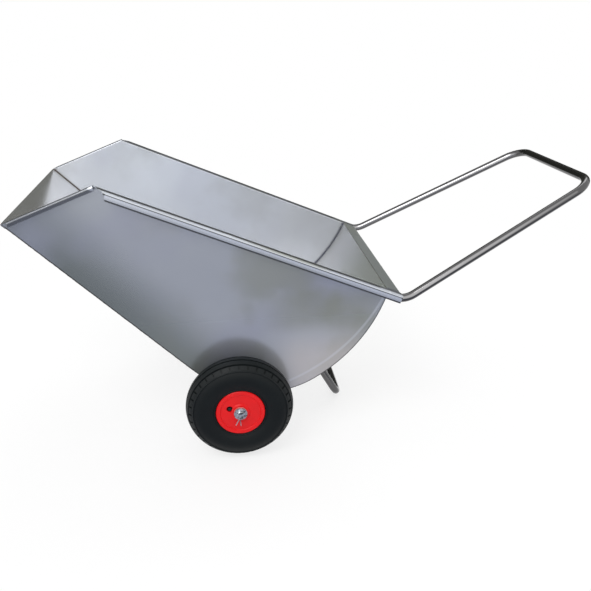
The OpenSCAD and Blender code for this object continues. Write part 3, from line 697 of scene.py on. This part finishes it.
class BARROW_OT_tray(bpy.types.Operator):
    """Finish the tray's sheets"""

    bl_idname = "barrow.tray"
    bl_label = "Tray"

    def execute(self, context):
        scene = context.scene
        steel = sheet_steel(scene.barrow_colours, scene.barrow_sizes)
        finish_nodes(steel, "side_panel", "floor_sheet", "stand_doubler", "axle_bracket")
        return {"FINISHED"}


class BARROW_OT_tubes(bpy.types.Operator):
    """Finish the handle and the stand"""

    bl_idname = "barrow.tubes"
    bl_label = "Tubes"

    def execute(self, context):
        finish_nodes(tube_steel(context.scene.barrow_colours), "handle_tube", "stand_tube")
        return {"FINISHED"}


class BARROW_OT_wheels(bpy.types.Operator):
    """Finish the wheels"""

    bl_idname = "barrow.wheels"
    bl_label = "Wheels"

    def execute(self, context):
        colours = context.scene.barrow_colours
        finish_nodes(tyre_rubber(colours), "tyre")
        finish_nodes(red_plastic(colours), "rim_outer_half", "rim_inner_half")
        finish_nodes(plain_finish("tube_rubber", colours.inner_rubber, 0.6), "inner_tube")
        finish_nodes(plain_finish("nylon", colours.nylon, 0.45), "outer_hub_bush", "inner_hub_bush")
        finish_nodes(plain_finish("brass", colours.brass, 0.35, 1.0), "valve_stem")
        finish_nodes(plain_finish("cap_plastic", colours.cap, 0.5), "valve_cap")
        return {"FINISHED"}


class BARROW_OT_fittings(bpy.types.Operator):
    """Finish the axle, washers, collars, screws and split pins"""

    bl_idname = "barrow.fittings"
    bl_label = "Fittings"

    def execute(self, context):
        finish_nodes(zinc_plate(context.scene.barrow_colours), "axle", "axle_collar",
                     "inner_washer", "outer_washer", "split_pin", "rim_screws")
        return {"FINISHED"}


# ---------------------------------------------------------------- studio

CAMERA_PLACE = (-0.2405, -1.7121, 1.0080)
CAMERA_TILT = math.radians(66.57)
CAMERA_TURN = math.radians(-6.86)
CAMERA_LENS = 40.69
CAMERA_SHIFT = (0.0080, 0.0081)
LAMP_TARGET = (0.0, 0.0, 0.3)
WHITE = (1.0, 1.0, 1.0)
# Strength of the world's light on surfaces, where the world itself is seen at 1
WORLD_LIGHT = 0.75
# The floor glows by this share up to FLOOR_NEAR from the object, and fully beyond FLOOR_FAR
FLOOR_GLOW = 0.75
FLOOR_NEAR = 0.9
FLOOR_FAR = 2.0
FLOOR_HALF = 30.0


def lamp(name, place, size, power):
    """A square soft lamp that faces the object."""
    facing = (Vector(LAMP_TARGET) - Vector(place)).to_track_quat("-Z", "Y").to_euler()
    bpy.ops.object.light_add(type="AREA", location=place, rotation=facing)
    light = bpy.context.object
    light.name = name
    light.data.size = size
    light.data.energy = power


def seen_directly(tree):
    """1 for camera, glossy and transmission rays, and 0 for the rays that gather light."""
    rays = add_node(tree, "ShaderNodeLightPath").socket.node.outputs
    camera, glossy, through = (
        Value(tree, rays[f"Is {kind} Ray"]) for kind in ("Camera", "Glossy", "Transmission"))
    direct = camera + glossy
    return direct.maths("ADD", direct, through, clamp=True)


def studio_world():
    """Even pale light from all round, white behind the object."""
    world = bpy.data.worlds.new("studio")
    bpy.context.scene.world = world
    world.use_nodes = True
    tree = world.node_tree
    back = tree.nodes["Background"]
    strength = WORLD_LIGHT + seen_directly(tree) * (1 - WORLD_LIGHT)
    tree.links.new(strength.socket, back.inputs["Strength"])
    back.inputs["Color"].default_value = (*WHITE, 1.0)


def studio_floor(colours):
    """A wide pale floor that shows white and keeps a part of the object's shadow."""
    deselect()
    bpy.ops.mesh.primitive_plane_add(size=2 * FLOOR_HALF, location=(0.0, 0.0, 0.0))
    floor = bpy.context.object
    floor.name = "studio_floor"
    paint = Finish("studio_floor", Roughness=0.9, Specular_IOR_Level=0.0)
    paint.shader.inputs["Base Color"].default_value = (*colours.floor, 1.0)
    x, y, _ = paint.axes()
    far = ((x * x + y * y) ** 0.5).ramp(FLOOR_NEAR, FLOOR_FAR)
    glow = paint.node("ShaderNodeEmission", Color=WHITE, Strength=1.0)
    share = seen_directly(paint.tree) * (FLOOR_GLOW + (1 - FLOOR_GLOW) * far)
    lit = Value(paint.tree, paint.shader.outputs[0])
    shown = paint.node("ShaderNodeMixShader", _0=share, _1=lit, _2=glow)
    floor.data.materials.append(paint.show(shown))


def flag(name, place, tilt, size, fade, first, last):
    """A large card that only reflections show, which fades from one tone to another along its Y."""
    deselect()
    bpy.ops.mesh.primitive_plane_add(size=1.0, location=place, rotation=(tilt, 0.0, 0.0))
    card = bpy.context.object
    card.name = name
    card.scale = (*size, 1.0)
    paint = Finish(name)
    tone = paint.mix(paint.axes()[1].ramp(*fade), first, last)
    card.data.materials.append(paint.show(paint.node("ShaderNodeEmission", Color=tone, Strength=1.0)))
    for ray in ("camera", "diffuse", "transmission", "volume_scatter", "shadow"):
        setattr(card, "visible_" + ray, False)


class BARROW_OT_stage(bpy.types.Operator):
    """Add the floor, the lamps and the camera"""

    bl_idname = "barrow.stage"
    bl_label = "Studio"

    def execute(self, context):
        studio_world()
        studio_floor(context.scene.barrow_colours)
        lamp("key", place=(-1.6, -2.2, 3.2), size=2.2, power=60.0)
        lamp("back", place=(1.5, 2.6, 3.0), size=2.6, power=40.0)
        flag("back_flag", place=(0.0, 2.2, 1.5), tilt=math.radians(90.0), size=(12.0, 3.0),
             fade=(0.3, 0.65), first=(0.10, 0.103, 0.09), last=WHITE)
        flag("front_flag", place=(0.0, -1.95, 0.004), tilt=0.0, size=(7.0, 3.1),
             fade=(-0.5, 0.5), first=(0.42, 0.44, 0.5), last=(0.36, 0.38, 0.45))
        bpy.ops.object.camera_add(location=CAMERA_PLACE, rotation=(CAMERA_TILT, 0.0, CAMERA_TURN))
        camera = context.object
        camera.name = "camera"
        camera.data.lens = CAMERA_LENS
        camera.data.shift_x, camera.data.shift_y = CAMERA_SHIFT
        context.scene.camera = camera
        context.scene.view_settings.view_transform = "Standard"
        return {"FINISHED"}


# ---------------------------------------------------------------- add-on

OPERATORS = (BARROW_OT_tray, BARROW_OT_welds, BARROW_OT_tubes, BARROW_OT_wheels,
             BARROW_OT_fittings, BARROW_OT_stage)


class BARROW_PT_panel(bpy.types.Panel):
    """Lists the barrow's settings and operators"""

    bl_idname = "BARROW_PT_panel"
    bl_label = "Barrow"
    bl_space_type = "VIEW_3D"
    bl_region_type = "UI"
    bl_category = "Barrow"

    def draw(self, context):
        for settings in (context.scene.barrow_colours, context.scene.barrow_sizes):
            box = self.layout.box()
            for name in settings.__annotations__:
                box.prop(settings, name)
        for operator in OPERATORS:
            self.layout.operator(operator.bl_idname)


CLASSES = (BarrowColours, BarrowSizes, *OPERATORS, BARROW_PT_panel)


def register():
    for cls in CLASSES:
        bpy.utils.register_class(cls)
    bpy.types.Scene.barrow_colours = bpy.props.PointerProperty(type=BarrowColours)
    bpy.types.Scene.barrow_sizes = bpy.props.PointerProperty(type=BarrowSizes)


def unregister():
    del bpy.types.Scene.barrow_sizes
    del bpy.types.Scene.barrow_colours
    for cls in reversed(CLASSES):
        bpy.utils.unregister_class(cls)


def main():
    register()
    for operator in OPERATORS:
        group, call = operator.bl_idname.split(".")
        getattr(getattr(bpy.ops, group), call)()


if __name__ == "__main__":
    main()
